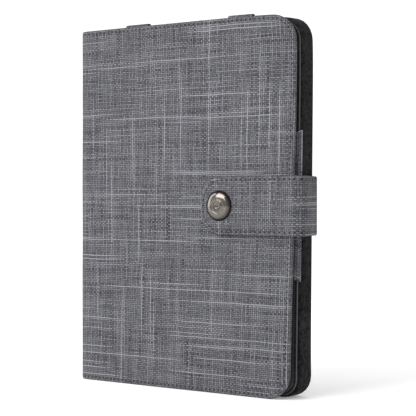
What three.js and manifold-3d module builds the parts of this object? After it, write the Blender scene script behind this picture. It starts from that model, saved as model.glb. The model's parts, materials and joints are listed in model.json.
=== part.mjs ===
// Tablet keyboard case: a book-style folio that stands on its bottom edge, spine on the left.
// Millimetres, +Z up, +X from the spine to the opening edge, +Y from the front cover to the back.
// The front cover, the spine, the tablet holder and the keyboard tray are hinged like a book,
// and a snap strap runs from the back round the opening edge onto the front cover.
import * as THREE from "three";
import { mergeVertices } from "three/addons/utils/BufferGeometryUtils.js";
import Module from "manifold-3d";

const wasm = await Module();
wasm.setup();

// ---- Driving dimensions ----

// Covers
const coverWidth = 154; // spine's outer face to the opening edge
const coverHeight = 210;
const cornerRadius = 12.5; // the free corners of the cover, the holder and the tray
const clothThickness = 0.8;
const boardThickness = 1.6;
const liningThickness = 0.7;
const layerGap = 0.1; // between glued layers
const hemWidth = 1.0; // cloth turned over the edge of the cover board
const fitGap = 0.3; // between a piece and the piece it sits in

// Spine
const creaseInset = 4; // fold line to the outer faces that it joins
const creaseAllowance = 2.8; // bare cloth between the fold line and a board
const spineBoardThickness = 1.3;
const spineLiningThickness = 0.6;

// Tablet holder
const bayGap = 2.4; // cover lining to holder, with no tablet in
const holderThickness = 1.8;
const holderTopDrop = 4; // holder's top below the cover's top
const holderLift = 2; // holder's bottom above the cover's bottom
const holderEdgeInset = 1; // holder's free edge inside the cover's
const holderHingeDepth = 5.5; // holder's hinge line inside the spine's outer face
const holderHingeTape = 0.8; // half width of the tape, each side of the hinge line
const bandThickness = 0.5; // elastic band
const loopWidth = 16.4;
const loopSpacing = 73.7; // centre to centre
const loopOffset = 2.1; // the loops' middle from the holder's middle, toward the spine
const loopRise = 5.8; // empty loop above the holder's top edge
const loopDip = 1.6; // flattened loop below the holder's bottom edge
const loopLeg = 9; // band sewn down on each face of the holder
const sideBandLength = 81;
const sideBandReach = 2.3; // beyond the holder's free edge
const propLength = 80; // prop flap, from its hinge to its foot
const propWidth = 70;
const propHingeDistance = 30; // from the holder's hinge line
const propClearance = 0.8;

// Keyboard tray
const holderToTray = 0.8;
const trayDepth = 11.5;
const trayTopDrop = 1.2;
const trayStart = 9; // tray's spine-side wall from the spine's outer face
const trayInnerRadius = 3;
const trayWall = 4; // wall on the spine side
const trayRim = 8.7; // walls at top and bottom
const facingInset = 2.5; // back board and cloth inside the tray's outline
const plugNotchWidth = 11;

// Keyboard
const keyRows = 5;
const rowPitch = 16.4;
const columns = 12;
const capGap = 2.6; // between neighbouring key caps
const capRise = 1.0; // cap above the frame
const capDrop = 1.0; // cap's top below the tray's rim
const keyTravel = 1.1;
const framePlate = 1.0;
const keyWeb = 0.5;
const webInset = 1.5; // web narrower than the caps, on each side
const openingGap = 0.5; // frame opening round each cap
const membraneThickness = 0.4;
const circuitThickness = 0.8;
const baseFloor = 0.8;
const baseWall = 1.2;
const gripPad = 0.5; // self-grip fastener under the keyboard
const gripPadWidth = 18;
const electronicsStrip = 13; // bar between the number row and the spine
const switchTravel = 2;
const switchKnob = 3;
const switchInset = 42; // switch from the keyboard's upper end
const lightSize = 3;
const lightInset = 28;

// Strap and snap
const strapWidth = 32.5;
const strapThickness = 2;
const strapLap = 59.4; // strap's tip inside the cover's opening edge
const strapBulge = 8; // strap's front fold beyond the opening edge
const strapBackProud = 1.2; // strap's back fold beyond the opening edge
const strapAnchorLength = 42; // sewn to the back
const foldGap = 1.7; // strap pieces end this far from their fold line
const strapStandoff = 2.2; // strap's inner face above the front cover
const tipRadius = 14;
const snapInset = 46.4; // snap's centre inside the opening edge
const capRadius = 8;
const capHeight = 2.5;
const postRadius = 1.8;
const socketRadius = 6;
const socketDepth = 1.5;
const studRadius = 2.1;
const studFlange = 5.5;

// ---- Levels that follow, front to back ----
const frontThickness = clothThickness + boardThickness + liningThickness + 2 * layerGap;
const holderFront = frontThickness + bayGap;
const holderBack = holderFront + holderThickness;
const trayFront = holderBack + holderToTray;
const trayBack = trayFront + trayDepth;
const backBoardBack = trayBack - clothThickness - layerGap;
const pocketFront = backBoardBack - boardThickness - layerGap;
const skinStart = creaseInset + creaseAllowance;
const middle = coverHeight / 2; // the strap, the snap and the prop flap are centred on it

// ---- Colours ----
const cloth = new THREE.MeshStandardMaterial({ color: 0x737378, roughness: 0.95 });
const suede = new THREE.MeshStandardMaterial({ color: 0x2b2b2d, roughness: 1.0 });
const board = new THREE.MeshStandardMaterial({ color: 0x8a7d68, roughness: 0.9 });
const elastic = new THREE.MeshStandardMaterial({ color: 0x4c4c50, roughness: 0.9 });
const nickel = new THREE.MeshStandardMaterial({ color: 0x8b847d, roughness: 0.25, metalness: 1 });
const plastic = new THREE.MeshStandardMaterial({ color: 0x1c1c1e, roughness: 0.5 });
const keyPlastic = new THREE.MeshStandardMaterial({ color: 0x252528, roughness: 0.45 });
const rubber = new THREE.MeshStandardMaterial({ color: 0xb9bcc0, roughness: 0.7 });
const laminate = new THREE.MeshStandardMaterial({ color: 0x1e4a36, roughness: 0.6 });
const foil = new THREE.MeshStandardMaterial({ color: 0xa9adb1, roughness: 0.4, metalness: 0.6 });
const lightPipe = new THREE.MeshStandardMaterial({ color: 0xdfe6e8, roughness: 0.3 });

// ---- Shapes ----
const arcSteps = 8; // straight steps in a quarter circle

// A rectangle whose corners have their own radii: [left bottom, right bottom, right top, left top].
function roundedRect(x0, x1, y0, y1, radii = [0, 0, 0, 0]) {
  const corners = [
    [x0, y0, 1, 1, Math.PI],
    [x1, y0, -1, 1, 1.5 * Math.PI],
    [x1, y1, -1, -1, 0],
    [x0, y1, 1, -1, 0.5 * Math.PI],
  ];
  const points = corners.flatMap(([x, y, inX, inY, from], i) => {
    const radius = radii[i];
    if (radius <= 0) return [new THREE.Vector2(x, y)];
    return Array.from({ length: arcSteps + 1 }, (_, step) => {
      const angle = from + (step / arcSteps) * 0.5 * Math.PI;
      const along = x + inX * radius + radius * Math.cos(angle);
      return new THREE.Vector2(along, y + inY * radius + radius * Math.sin(angle));
    });
  });
  return new THREE.Shape(points);
}

// A sheet parallel to the covers: an outline in X and Z, from y0 to y1.
function sheet(outline, y0, y1) {
  const geometry = new THREE.ExtrudeGeometry(outline, {
    depth: y1 - y0,
    bevelEnabled: false,
    curveSegments: arcSteps,
  });
  geometry.rotateX(Math.PI / 2);
  geometry.translate(0, y1, 0);
  return geometry;
}

// A bar along Z: an outline in X and Y, from z0 to z1.
function bar(outline, z0, z1) {
  const geometry = new THREE.ExtrudeGeometry(outline, {
    depth: z1 - z0,
    bevelEnabled: false,
    curveSegments: arcSteps,
  });
  geometry.translate(0, 0, z0);
  return geometry;
}

function block(x0, x1, y0, y1, z0, z1) {
  const geometry = new THREE.BoxGeometry(x1 - x0, y1 - y0, z1 - z0);
  geometry.translate((x0 + x1) / 2, (y0 + y1) / 2, (z0 + z1) / 2);
  return geometry;
}

// A turned piece on an axis along Y through (x, z): its profile is [radius, y] pairs, front to back.
function turned(profile, x, z, segments = 32) {
  const points = profile.map(([r, y]) => new THREE.Vector2(r, y));
  const geometry = new THREE.LatheGeometry(points, segments);
  geometry.translate(x, 0, z);
  return geometry;
}

// ---- Cuts and joins ----
function solid(geometry) {
  const plain = geometry.clone();
  plain.deleteAttribute("normal");
  plain.deleteAttribute("uv");
  const merged = mergeVertices(plain, 1e-4);
  const vertProperties = new Float32Array(merged.attributes.position.array);
  const triVerts = new Uint32Array(merged.index.array);
  return new wasm.Manifold(new wasm.Mesh({ numProp: 3, vertProperties, triVerts }));
}

function toGeometry(manifold) {
  const mesh = manifold.getMesh();
  const geometry = new THREE.BufferGeometry();
  geometry.setAttribute("position", new THREE.BufferAttribute(mesh.vertProperties, 3));
  geometry.setIndex(new THREE.BufferAttribute(mesh.triVerts, 1));
  geometry.computeVertexNormals();
  return geometry;
}

function cut(geometry, ...tools) {
  return toGeometry(tools.reduce((whole, tool) => whole.subtract(solid(tool)), solid(geometry)));
}

function join(first, ...others) {
  return toGeometry(others.reduce((whole, other) => whole.add(solid(other)), solid(first)));
}

function piece(parent, name, geometry, material) {
  const mesh = new THREE.Mesh(geometry, material);
  mesh.name = name;
  parent.add(mesh);
  return mesh;
}

const folio = new THREE.Group();
const snapX = coverWidth - snapInset;

// A hole along Y for the snap, from y0 to y1.
function snapHole(radius, y0, y1) {
  return turned([[0, y0], [radius, y0], [radius, y1], [0, y1]], snapX, middle, 24);
}

// ---- Front cover: cloth turned over a board, with a lining glued inside ----
function buildFrontCover() {
  const cover = new THREE.Group();
  const freeCorners = (radius) => [0, radius, radius, 0];
  const outline = roundedRect(skinStart, coverWidth, 0, coverHeight, freeCorners(cornerRadius));
  const pocketOutline = roundedRect(
    skinStart - 1,
    coverWidth - hemWidth,
    hemWidth,
    coverHeight - hemWidth,
    freeCorners(cornerRadius - hemWidth),
  );
  const stiffInset = hemWidth + layerGap;
  const stiffOutline = roundedRect(
    skinStart,
    coverWidth - stiffInset,
    stiffInset,
    coverHeight - stiffInset,
    freeCorners(cornerRadius - stiffInset),
  );
  const shankHole = snapHole(postRadius + fitGap, -1, frontThickness + 1);
  const boardFront = clothThickness + layerGap;
  const liningFront = boardFront + boardThickness + layerGap;
  const cloths = cut(
    sheet(outline, 0, frontThickness),
    sheet(pocketOutline, clothThickness, frontThickness + 1),
    shankHole,
  );
  piece(cover, "front_cover_cloth", cloths, cloth);
  const stiffener = cut(sheet(stiffOutline, boardFront, boardFront + boardThickness), shankHole);
  piece(cover, "front_cover_board", stiffener, board);
  const lining = cut(sheet(stiffOutline, liningFront, frontThickness), shankHole);
  piece(cover, "front_cover_lining", lining, suede);
  return cover;
}

// ---- Snap: stud and rivet on the cover, socket and cap on the strap ----
function buildSnapStud() {
  const stud = new THREE.Group();
  const headTop = -strapStandoff + 0.6;
  const flangeTop = -0.6;
  const studProfile = [
    [0, headTop],
    [studRadius * 0.7, headTop],
    [studRadius, headTop + 0.3],
    [studRadius * 0.8, flangeTop],
    [studFlange, flangeTop],
    [studFlange, -layerGap],
    [postRadius, -layerGap],
    [postRadius, frontThickness - 1],
    [0, frontThickness - 1],
  ];
  piece(stud, "snap_stud", turned(studProfile, snapX, middle), nickel);
  const rivetFace = frontThickness + layerGap;
  const rivetProfile = [
    [0, frontThickness - 0.9],
    [postRadius, frontThickness - 0.9],
    [postRadius, rivetFace],
    [studFlange, rivetFace],
    [studFlange, rivetFace + 0.4],
    [0, rivetFace + 0.4],
  ];
  piece(stud, "snap_rivet", turned(rivetProfile, snapX, middle), nickel);
  return stud;
}

function buildSnapCap() {
  const cap = new THREE.Group();
  const strapOuter = -strapStandoff - strapThickness;
  const capBase = strapOuter - layerGap;
  const domeSteps = 6;
  const rimHeight = 0.7;
  const dome = [[0, capBase - capHeight]];
  for (let i = 1; i <= domeSteps; i += 1) {
    const angle = (i / domeSteps) * 0.5 * Math.PI;
    const height = rimHeight + (capHeight - rimHeight) * Math.cos(angle);
    dome.push([capRadius * Math.sin(angle), capBase - height]);
  }
  const postEnd = -strapStandoff - fitGap;
  const post = [
    [capRadius, capBase],
    [postRadius, capBase],
    [postRadius, postEnd],
    [0, postEnd],
  ];
  const capProfile = [...dome, ...post];
  piece(cap, "snap_cap", turned(capProfile, snapX, middle, 40), nickel);
  const socketTop = -strapStandoff + layerGap;
  const boreRadius = studRadius + fitGap;
  const socketProfile = [
    [0, socketTop],
    [socketRadius, socketTop],
    [socketRadius, socketTop + socketDepth],
    [boreRadius, socketTop + socketDepth],
    [boreRadius, socketTop + 0.4],
    [0, socketTop + 0.4],
  ];
  piece(cap, "snap_socket", turned(socketProfile, snapX, middle), nickel);
  return cap;
}

// ---- Spine: cloth, board and lining between the two fold lines ----
function buildSpine() {
  const spine = new THREE.Group();
  const y0 = skinStart;
  const y1 = trayBack - skinStart;
  const boardStart = clothThickness + layerGap;
  const liningStart = boardStart + spineBoardThickness + layerGap;
  const liningEnd = liningStart + spineLiningThickness;
  const edge = hemWidth + layerGap;
  piece(spine, "spine_cloth", block(0, clothThickness, y0, y1, 0, coverHeight), cloth);
  const boardEnd = boardStart + spineBoardThickness;
  piece(spine, "spine_board", block(boardStart, boardEnd, y0, y1, edge, coverHeight - edge), board);
  piece(spine, "spine_lining", block(liningStart, liningEnd, y0, y1, edge, coverHeight - edge), suede);
  const tapeMiddle = (holderFront + holderBack) / 2;
  const tapeHalf = clothThickness / 2;
  const tape = block(
    liningEnd + layerGap,
    holderHingeDepth - fitGap,
    tapeMiddle - tapeHalf,
    tapeMiddle + tapeHalf,
    holderLift + cornerRadius,
    coverHeight - holderTopDrop - cornerRadius,
  );
  piece(spine, "holder_hinge_tape", tape, elastic);
  return spine;
}

// ---- Tablet holder: a thin stiffened page with a prop flap cut in it ----
const holderStart = holderHingeDepth + holderHingeTape;
const holderEnd = coverWidth - holderEdgeInset;
const holderTop = coverHeight - holderTopDrop;
const propHingeX = holderHingeDepth + propHingeDistance;

// A band of elastic folded over an edge of the holder, as an outline in (distance past the edge, Y).
function bandLoop(reach, leg) {
  const front = holderFront - layerGap - bandThickness;
  const back = holderBack + layerGap + bandThickness;
  const puff = Math.min(reach / 2, 1.3); // the loop swells towards the cover past the edge
  const shape = new THREE.Shape();
  shape.moveTo(-leg, front);
  shape.lineTo(-0.5, front);
  shape.quadraticCurveTo(0, front - puff, reach * 0.6, front - puff);
  shape.quadraticCurveTo(reach, front - puff, reach, (front + back) / 2);
  shape.quadraticCurveTo(reach, back, reach * 0.5, back);
  shape.lineTo(-leg, back);
  shape.lineTo(-leg, back - bandThickness);
  shape.lineTo(fitGap, back - bandThickness);
  shape.lineTo(fitGap, front + bandThickness);
  shape.lineTo(-leg, front + bandThickness);
  shape.closePath();
  return shape;
}

function buildHolder() {
  const holder = new THREE.Group();
  const outline = roundedRect(
    holderStart,
    holderEnd,
    holderLift,
    holderTop,
    [0, cornerRadius, cornerRadius, 0],
  );
  const window = roundedRect(
    propHingeX - propClearance,
    propHingeX + propLength + propClearance,
    middle - propWidth / 2 - propClearance,
    middle + propWidth / 2 + propClearance,
    [0, cornerRadius, cornerRadius, 0],
  );
  outline.holes.push(window);
  piece(holder, "holder_panel", sheet(outline, holderFront, holderBack), suede);

  const centre = (holderStart + holderEnd) / 2 - loopOffset;
  const sides = [["left", -0.5], ["right", 0.5]];
  for (const [side, share] of sides) {
    const x0 = centre + share * loopSpacing - loopWidth / 2;
    const top = bar(bandLoop(loopRise, loopLeg), 0, loopWidth);
    top.rotateY(-Math.PI / 2);
    piece(holder, `top_loop_${side}`, top, cloth).position.set(x0 + loopWidth, 0, holderTop);
    const bottom = bar(bandLoop(loopDip, loopLeg), 0, loopWidth);
    bottom.rotateY(Math.PI / 2);
    piece(holder, `bottom_loop_${side}`, bottom, cloth).position.set(x0, 0, holderLift);
  }
  const band = bar(bandLoop(sideBandReach, loopLeg), -sideBandLength / 2, sideBandLength / 2);
  piece(holder, "side_band", band, cloth).position.set(holderEnd, 0, middle);

  const tape = block(
    propHingeX - 6,
    propHingeX - fitGap,
    holderFront - layerGap - bandThickness,
    holderFront - layerGap,
    middle - propWidth / 2,
    middle + propWidth / 2,
  );
  piece(holder, "prop_hinge_tape", tape, elastic);
  return holder;
}

function buildPropFlap() {
  const prop = new THREE.Group();
  const footRadius = cornerRadius - propClearance;
  const outline = roundedRect(
    propHingeX + fitGap,
    propHingeX + propLength,
    middle - propWidth / 2,
    middle + propWidth / 2,
    [0, footRadius, footRadius, 0],
  );
  piece(prop, "prop_flap", sheet(outline, holderFront, holderBack), suede);
  return prop;
}

// ---- Back cover: the moulded keyboard tray with its board and cloth facing ----
const trayTop = coverHeight - trayTopDrop;
const keyboardStart = trayStart + trayWall + fitGap;
const firstRow = keyboardStart + electronicsStrip + rowPitch / 2;
const keyboardEnd = firstRow + (keyRows - 0.5) * rowPitch + baseWall;
const keyboardSpan = trayTop - 2 * (trayRim + fitGap);
const columnPitch = (keyboardSpan - 2 * baseWall) / columns;
const keyboardBottom = trayRim + fitGap;
const keyboardTop = keyboardBottom + keyboardSpan;
const notchMiddle = keyboardStart + electronicsStrip / 2;

// Keyboard levels, front to back
const capTop = trayFront + capDrop;
const frameFront = capTop + capRise;
const frameBack = frameFront + framePlate;
const webFront = frameBack + fitGap;
const membraneFront = webFront + keyWeb + keyTravel + layerGap;
const membraneBack = membraneFront + membraneThickness;
const baseFloorFront = membraneBack + circuitThickness + 2 * layerGap;
const baseBack = baseFloorFront + baseFloor;
const wellFloor = baseBack + gripPad + 2 * layerGap;

function buildBackCover() {
  const back = new THREE.Group();
  const trayOutline = roundedRect(
    trayStart,
    coverWidth,
    0,
    trayTop,
    [trayInnerRadius, cornerRadius, cornerRadius, trayInnerRadius],
  );
  const well = block(
    keyboardStart - fitGap,
    keyboardEnd + fitGap,
    trayFront - 1,
    wellFloor,
    keyboardBottom - fitGap,
    keyboardTop + fitGap,
  );
  const facingOutline = (inset) =>
    roundedRect(
      skinStart,
      coverWidth - inset,
      inset,
      trayTop - inset,
      [0, cornerRadius - inset, cornerRadius - inset, 0],
    );
  const pocket = sheet(facingOutline(facingInset), pocketFront, trayBack + 1);
  const plugNotch = block(
    notchMiddle - plugNotchWidth / 2,
    notchMiddle + plugNotchWidth / 2,
    trayFront - 1,
    baseFloorFront,
    keyboardTop - 1,
    trayTop + 1,
  );
  const tray = cut(sheet(trayOutline, trayFront, trayBack), well, pocket, plugNotch);
  piece(back, "keyboard_tray", tray, suede);
  const facing = facingOutline(facingInset + layerGap);
  piece(back, "back_board", sheet(facing, pocketFront + layerGap, backBoardBack), board);
  piece(back, "back_cloth", sheet(facing, trayBack - clothThickness, trayBack), cloth);
  const padMiddles = [0.25, 0.75].map((share) => keyboardBottom + share * keyboardSpan);
  const padNames = ["grip_pad_lower", "grip_pad_upper"];
  padMiddles.forEach((z, i) => {
    const pad = block(
      keyboardStart + trayWall,
      keyboardEnd - trayWall,
      wellFloor - layerGap - gripPad,
      wellFloor - layerGap,
      z - gripPadWidth / 2,
      z + gripPadWidth / 2,
    );
    piece(back, padNames[i], pad, elastic);
  });
  return back;
}

// ---- Keys: each row's caps stand on one web and rise through the frame ----
const rowUnits = [
  { name: "number_row", row: 0, start: 0, units: Array(12).fill(1) },
  { name: "upper_row", row: 1, start: 0, units: Array(12).fill(1) },
  { name: "home_row", row: 2, start: 0, units: [1.25, ...Array(9).fill(1), 1.75] },
  { name: "lower_row", row: 3, start: 0, units: [1.75, ...Array(8).fill(1), 1.25, 1] },
  { name: "modifier_keys_left", row: 4, start: 0, units: [1, 1, 1.25] },
  { name: "space_bar", row: 4, start: 3.25, units: [4.5] },
  { name: "modifier_keys_right", row: 4, start: 7.75, units: [1.25, 1, 1, 1] },
];
const capDepth = rowPitch - capGap;

// The lower and upper end of each cap in a row, along Z.
function capEnds(row) {
  let unit = row.start;
  return row.units.map((width) => {
    const z0 = keyboardBottom + baseWall + unit * columnPitch + capGap / 2;
    unit += width;
    return [z0, z0 + width * columnPitch - capGap];
  });
}

function rowMiddle(row) {
  return firstRow + row.row * rowPitch;
}

function buildKeys() {
  const keys = new THREE.Group();
  for (const row of rowUnits) {
    const x = rowMiddle(row);
    const ends = capEnds(row);
    const web = block(
      x - capDepth / 2 + webInset,
      x + capDepth / 2 - webInset,
      webFront,
      webFront + keyWeb,
      ends[0][0] + webInset,
      ends[ends.length - 1][1] - webInset,
    );
    const caps = ends.map(([z0, z1]) => {
      const outline = roundedRect(x - capDepth / 2, x + capDepth / 2, z0, z1);
      return sheet(outline, capTop, webFront + keyWeb / 2);
    });
    piece(keys, row.name, join(web, ...caps), keyPlastic);
  }
  return keys;
}

function buildKeyboard() {
  const keyboard = new THREE.Group();
  const base = cut(
    block(keyboardStart, keyboardEnd, frameBack + layerGap, baseBack, keyboardBottom, keyboardTop),
    block(
      keyboardStart + baseWall,
      keyboardEnd - baseWall,
      frameBack - 1,
      baseFloorFront,
      keyboardBottom + baseWall,
      keyboardTop - baseWall,
    ),
    socketOpening(),
  );
  piece(keyboard, "keyboard_base", base, plastic);

  // An opening through the frame plate, fitting round what rises through it.
  const opening = (x0, x1, z0, z1, gap) =>
    block(x0 - gap, x1 + gap, frameFront - 1, frameBack + 1, z0 - gap, z1 + gap);
  const keyOpenings = rowUnits.flatMap((row) => {
    const x = rowMiddle(row);
    return capEnds(row).map(([z0, z1]) =>
      opening(x - capDepth / 2, x + capDepth / 2, z0, z1, openingGap),
    );
  });
  const switchZ = keyboardTop - switchInset;
  const lightZ = keyboardTop - lightInset;
  const stem = switchKnob / 2;
  const lightHalf = lightSize / 2;
  const knobEnd = notchMiddle + stem + switchTravel;
  const plate = cut(
    block(keyboardStart, keyboardEnd, frameFront, frameBack, keyboardBottom, keyboardTop),
    ...keyOpenings,
    opening(notchMiddle - stem, knobEnd, switchZ - stem, switchZ + stem, fitGap),
    opening(notchMiddle - lightHalf, notchMiddle + lightHalf, lightZ - lightHalf, lightZ + lightHalf, fitGap),
  );
  piece(keyboard, "keyboard_frame", plate, plastic);

  const knob = block(
    notchMiddle - stem,
    notchMiddle + stem,
    frameFront - 0.7,
    webFront,
    switchZ - stem,
    switchZ + stem,
  );
  piece(keyboard, "power_switch", knob, keyPlastic);
  const light = block(
    notchMiddle - lightHalf,
    notchMiddle + lightHalf,
    frameFront,
    frameBack,
    lightZ - lightHalf,
    lightZ + lightHalf,
  );
  piece(keyboard, "indicator_window", light, lightPipe);

  const inside = keyboardStart + baseWall + fitGap;
  const stripEnd = firstRow - rowPitch / 2;
  const membraneEnd = keyboardEnd - baseWall - fitGap;
  const z0 = keyboardBottom + baseWall + fitGap;
  const z1 = keyboardTop - baseWall - fitGap;
  const membrane = block(stripEnd, membraneEnd, membraneFront, membraneBack, z0, z1);
  piece(keyboard, "key_membrane", membrane, rubber);
  const electronicsEnd = stripEnd - fitGap;
  const boardFront = baseFloorFront - layerGap - circuitThickness;
  const batteryTop = keyboardBottom + keyboardSpan * 0.5;
  const battery = block(inside, electronicsEnd, webFront, baseFloorFront - layerGap, z0, batteryTop);
  piece(keyboard, "battery", battery, foil);
  const circuit = block(
    inside,
    electronicsEnd,
    boardFront,
    baseFloorFront - layerGap,
    batteryTop + fitGap,
    keyboardTop - socketLength - fitGap,
  );
  piece(keyboard, "circuit_board", circuit, laminate);
  piece(keyboard, "charging_socket", buildSocket(), foil);
  return keyboard;
}

// Charging socket: a shallow sleeve, open towards the notch in the tray's top wall.
const socketWidth = 7.6;
const socketHeight = 2.4;
const socketLength = 5.6;
const socketWall = 0.4;

function socketBlock(grow, z0, z1) {
  const yMiddle = (frameBack + baseFloorFront) / 2;
  return block(
    notchMiddle - socketWidth / 2 - grow,
    notchMiddle + socketWidth / 2 + grow,
    yMiddle - socketHeight / 2 - grow,
    yMiddle + socketHeight / 2 + grow,
    z0,
    z1,
  );
}

function socketOpening() {
  return socketBlock(fitGap, keyboardTop - baseWall - 1, keyboardTop + 1);
}

function buildSocket() {
  const start = keyboardTop - socketLength;
  return cut(
    socketBlock(0, start, keyboardTop),
    socketBlock(-socketWall, start + socketWall, keyboardTop + 1),
  );
}

// ---- Strap: sewn to the back, folded round the opening edge, snapped to the cover ----
const strapFold = coverWidth + strapBulge; // front fold line
const strapMiddleFront = -strapStandoff - strapThickness / 2;
const strapBackFold = coverWidth + strapBackProud;
const strapMiddleBack = trayBack + layerGap + strapThickness / 2;

function buildStrap() {
  const strap = new THREE.Group();
  const z0 = middle - strapWidth / 2;
  const z1 = middle + strapWidth / 2;
  const half = strapThickness / 2;
  const anchor = block(
    strapBackFold - foldGap - strapAnchorLength,
    strapBackFold - foldGap,
    strapMiddleBack - half,
    strapMiddleBack + half,
    z0,
    z1,
  );
  piece(strap, "strap_anchor", anchor, cloth);

  const dx = strapFold - strapBackFold;
  const dy = strapMiddleFront - strapMiddleBack;
  const sideLength = Math.hypot(dx, dy) - 2 * foldGap;
  const sideBox = new THREE.BoxGeometry(sideLength, strapThickness, strapWidth);
  const side = piece(strap, "strap_side", sideBox, cloth);
  side.position.set(strapBackFold + dx / 2, strapMiddleBack + dy / 2, middle);
  side.rotation.z = Math.atan2(dy, dx);

  const tip = coverWidth - strapLap;
  const flapOutline = roundedRect(tip, strapFold - foldGap, z0, z1, [tipRadius, 0, 0, tipRadius]);
  const flap = cut(
    sheet(flapOutline, strapMiddleFront - half, strapMiddleFront + half),
    snapHole(postRadius + fitGap, strapMiddleFront - half - 1, strapMiddleFront + half + 1),
  );
  piece(strap, "strap_flap", flap, cloth);
  return strap;
}

folio.add(buildFrontCover(), buildSnapStud(), buildSpine(), buildHolder(), buildPropFlap());
folio.add(buildBackCover(), buildKeyboard(), buildKeys(), buildStrap(), buildSnapCap());

// The origin is on the floor, under the middle of the whole case.
folio.updateMatrixWorld(true);
const extent = new THREE.Box3().setFromObject(folio);
const centre = extent.getCenter(new THREE.Vector3());
folio.position.set(-centre.x, -centre.y, -extent.min.z);

export default folio;
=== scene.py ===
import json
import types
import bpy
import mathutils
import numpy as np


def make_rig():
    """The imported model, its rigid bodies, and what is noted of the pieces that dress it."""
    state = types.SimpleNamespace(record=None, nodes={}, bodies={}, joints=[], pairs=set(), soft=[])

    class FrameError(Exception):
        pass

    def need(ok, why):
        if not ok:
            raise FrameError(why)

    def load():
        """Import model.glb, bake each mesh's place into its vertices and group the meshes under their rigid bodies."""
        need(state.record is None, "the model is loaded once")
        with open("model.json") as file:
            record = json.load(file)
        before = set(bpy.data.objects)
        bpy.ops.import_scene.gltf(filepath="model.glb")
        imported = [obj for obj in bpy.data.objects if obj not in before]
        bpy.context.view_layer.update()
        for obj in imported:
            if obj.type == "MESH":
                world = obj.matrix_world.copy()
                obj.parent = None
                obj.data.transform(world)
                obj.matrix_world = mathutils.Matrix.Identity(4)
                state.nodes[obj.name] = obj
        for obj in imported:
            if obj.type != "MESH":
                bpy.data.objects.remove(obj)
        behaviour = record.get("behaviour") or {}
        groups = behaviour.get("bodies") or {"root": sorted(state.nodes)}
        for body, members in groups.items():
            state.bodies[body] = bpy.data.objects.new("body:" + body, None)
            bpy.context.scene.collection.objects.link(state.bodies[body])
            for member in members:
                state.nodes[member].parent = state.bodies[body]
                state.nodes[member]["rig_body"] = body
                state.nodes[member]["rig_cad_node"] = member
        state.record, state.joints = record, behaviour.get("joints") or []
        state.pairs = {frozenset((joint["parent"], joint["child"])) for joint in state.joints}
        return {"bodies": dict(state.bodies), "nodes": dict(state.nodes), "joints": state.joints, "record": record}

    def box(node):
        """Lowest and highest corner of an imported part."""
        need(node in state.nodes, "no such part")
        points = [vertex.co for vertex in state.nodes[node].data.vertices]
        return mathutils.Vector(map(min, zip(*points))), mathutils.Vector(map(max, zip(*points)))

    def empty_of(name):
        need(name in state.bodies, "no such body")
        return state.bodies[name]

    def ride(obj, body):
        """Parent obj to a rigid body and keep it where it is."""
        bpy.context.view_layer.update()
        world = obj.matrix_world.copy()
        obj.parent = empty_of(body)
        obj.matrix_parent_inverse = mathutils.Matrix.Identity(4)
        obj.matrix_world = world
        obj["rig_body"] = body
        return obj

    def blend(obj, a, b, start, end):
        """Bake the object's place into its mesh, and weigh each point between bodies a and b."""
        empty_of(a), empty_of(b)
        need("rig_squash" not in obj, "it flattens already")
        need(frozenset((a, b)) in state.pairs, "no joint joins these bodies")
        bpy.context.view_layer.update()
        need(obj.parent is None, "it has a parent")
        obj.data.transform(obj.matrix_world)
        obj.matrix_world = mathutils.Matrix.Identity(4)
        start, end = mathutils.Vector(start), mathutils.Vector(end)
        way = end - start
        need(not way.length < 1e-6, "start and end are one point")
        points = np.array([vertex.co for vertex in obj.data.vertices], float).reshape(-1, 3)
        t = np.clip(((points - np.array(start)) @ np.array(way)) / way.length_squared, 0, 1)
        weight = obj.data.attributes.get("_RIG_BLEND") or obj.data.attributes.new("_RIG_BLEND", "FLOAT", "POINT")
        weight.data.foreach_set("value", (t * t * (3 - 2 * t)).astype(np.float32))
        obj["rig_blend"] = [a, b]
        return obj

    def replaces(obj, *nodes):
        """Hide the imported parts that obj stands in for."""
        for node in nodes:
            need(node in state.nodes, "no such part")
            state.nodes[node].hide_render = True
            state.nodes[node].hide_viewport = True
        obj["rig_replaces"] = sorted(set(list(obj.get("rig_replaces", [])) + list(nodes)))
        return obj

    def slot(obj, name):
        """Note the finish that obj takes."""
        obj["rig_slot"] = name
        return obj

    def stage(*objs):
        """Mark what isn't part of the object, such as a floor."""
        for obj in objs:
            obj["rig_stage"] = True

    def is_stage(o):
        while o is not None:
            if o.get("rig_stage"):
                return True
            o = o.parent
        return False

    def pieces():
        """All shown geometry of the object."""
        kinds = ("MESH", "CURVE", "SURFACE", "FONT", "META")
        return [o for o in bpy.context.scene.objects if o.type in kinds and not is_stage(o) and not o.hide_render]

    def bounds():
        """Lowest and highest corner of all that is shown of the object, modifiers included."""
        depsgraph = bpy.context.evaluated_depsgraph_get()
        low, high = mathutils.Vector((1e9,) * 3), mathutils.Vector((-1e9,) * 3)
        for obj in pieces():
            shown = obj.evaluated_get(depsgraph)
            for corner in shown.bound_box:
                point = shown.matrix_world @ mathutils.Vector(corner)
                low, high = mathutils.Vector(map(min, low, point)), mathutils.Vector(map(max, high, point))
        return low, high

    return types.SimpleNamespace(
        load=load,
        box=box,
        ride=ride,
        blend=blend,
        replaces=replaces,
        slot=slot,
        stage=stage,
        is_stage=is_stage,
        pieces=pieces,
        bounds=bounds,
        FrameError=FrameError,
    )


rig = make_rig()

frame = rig.load()

import json
import math

import bmesh
import bpy
import numpy as np
from mathutils import Matrix, Vector, noise

cad_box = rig.bounds()


# ---- Studio ----
# A white paper sweep that curves up into its own backdrop, lit by a broad soft box at the front
# left, a weaker one at the right and an even white surround.
MM = 0.001


def box_of(node):
    """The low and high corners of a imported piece."""
    return [Vector(corner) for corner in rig.box(node)]


def put(name, data):
    made = bpy.data.objects.new(name, data)
    bpy.context.collection.objects.link(made)
    return made


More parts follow.
